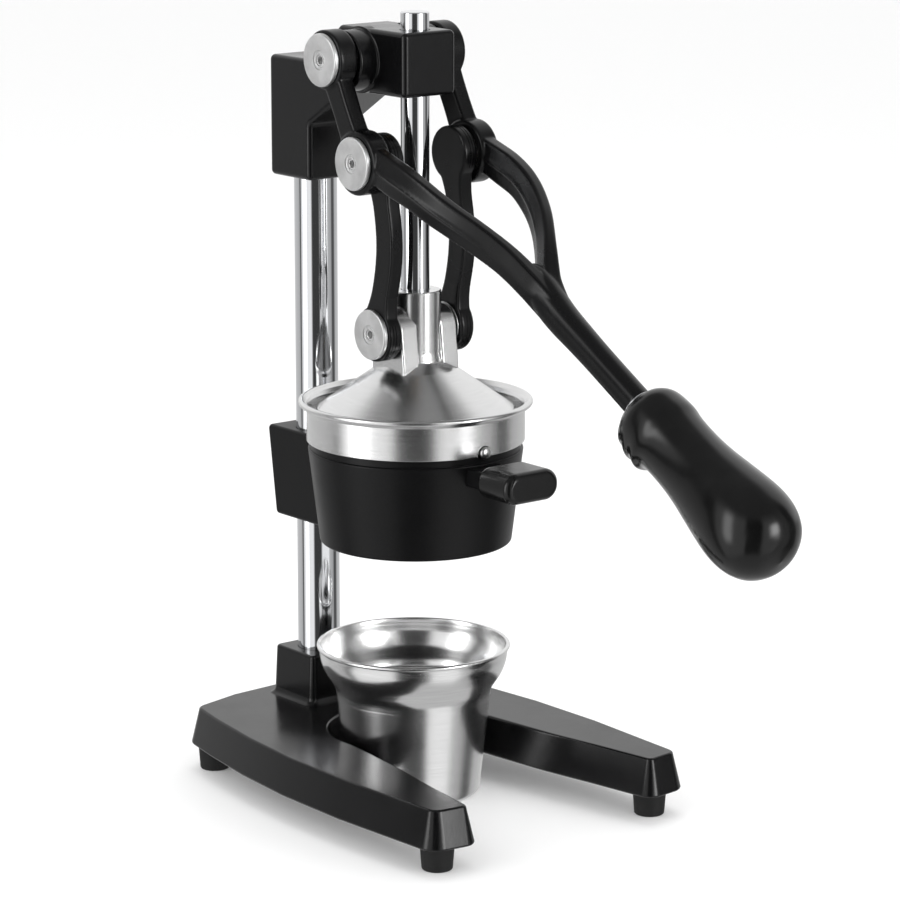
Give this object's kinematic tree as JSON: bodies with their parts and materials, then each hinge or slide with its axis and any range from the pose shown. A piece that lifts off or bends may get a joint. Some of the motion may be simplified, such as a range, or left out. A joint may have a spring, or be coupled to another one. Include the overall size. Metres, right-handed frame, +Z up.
{
  "type": "citrus press",
  "caption": "Hand lever citrus press: cast two-legged base, column and head, linked press cone over a strainer in a funnel holder, and a loose juice cup.",
  "frame": {"origin": "centre of the bounding box in X and Y, on the table plane under the feet", "axes": "+Z up; -Y is the front, where the lever points; +X is to the right of a user who stands in front and looks along +Y; mirror plane at X = 0"},
  "size_m": [0.1854, 0.4175, 0.4337],
  "materials": {
    "black_paint": "fine satin black paint on cast metal",
    "gloss_black": "smooth gloss black",
    "rubber": "matt black rubber",
    "chrome": "polished chrome plate",
    "stainless": "brushed stainless sheet",
    "steel": "plain steel fastener",
    "satin_cap": "satin nickel plate",
    "cast_aluminium": "polished cast aluminium",
    "bronze": "plain bearing bronze"
  },
  "bodies": {
    "frame": {"base_casting": "black_paint", "foot_front_left": "rubber", "foot_front_right": "rubber", "foot_rear_left": "rubber", "foot_rear_right": "rubber", "foot_screw_front_left": "steel", "foot_screw_front_right": "steel", "foot_screw_rear_left": "steel", "foot_screw_rear_right": "steel", "column": "chrome", "column_bolt": "steel", "base_set_screw": "steel", "head_casting": "black_paint", "head_set_screw_lower": "steel", "head_set_screw_upper": "steel", "guide_bush": "bronze", "head_pin_left": "satin_cap", "head_pin_right": "satin_cap", "head_washer_left": "steel", "head_washer_right": "steel", "holder_casting": "black_paint", "holder_set_screw_lower": "steel", "holder_set_screw_upper": "steel", "tab_handle": "gloss_black", "tab_screw": "steel", "strainer_pin": "steel", "strainer": "stainless"},
    "lever": {"lever_fork": "black_paint", "grip": "gloss_black", "grip_ferrule": "chrome"},
    "links": {"press_link_left": "black_paint", "press_link_right": "black_paint", "elbow_pin_left": "satin_cap", "elbow_pin_right": "satin_cap", "elbow_washer_left": "steel", "elbow_washer_right": "steel", "press_pin_left": "satin_cap", "press_pin_right": "satin_cap", "press_washer_left": "steel", "press_washer_right": "steel"},
    "press": {"press_cone": "cast_aluminium", "guide_shaft": "chrome", "shaft_nut": "steel"},
    "cup": {"juice_cup": "stainless"}
  },
  "joints": [
    {"name": "lever_pivot", "type": "hinge", "parent": "frame", "child": "lever", "pos_m": [0, 0.1084, 0.4085], "axis": [-1, 0, 0], "range_deg": [0, 85]},
    {"name": "link_pivot", "type": "hinge", "parent": "lever", "child": "links", "pos_m": [0, 0.0809, 0.356], "axis": [-1, 0, 0], "range_deg": [-102.1, 0]},
    {"name": "press_slide", "type": "slide", "parent": "frame", "child": "press", "axis": [0, 0, 1], "range_m": [0, 0.0803]},
    {"name": "cup_slide", "type": "slide", "parent": "frame", "child": "cup", "axis": [0, -1, 0], "range_m": [0, 0.2]}
  ],
  "couplings": [
    {"joint": "press_slide", "follows": "lever_pivot", "m_per_rad": 0.053992},
    {"joint": "link_pivot", "follows": "lever_pivot", "ratio": -1.1987}
  ]
}
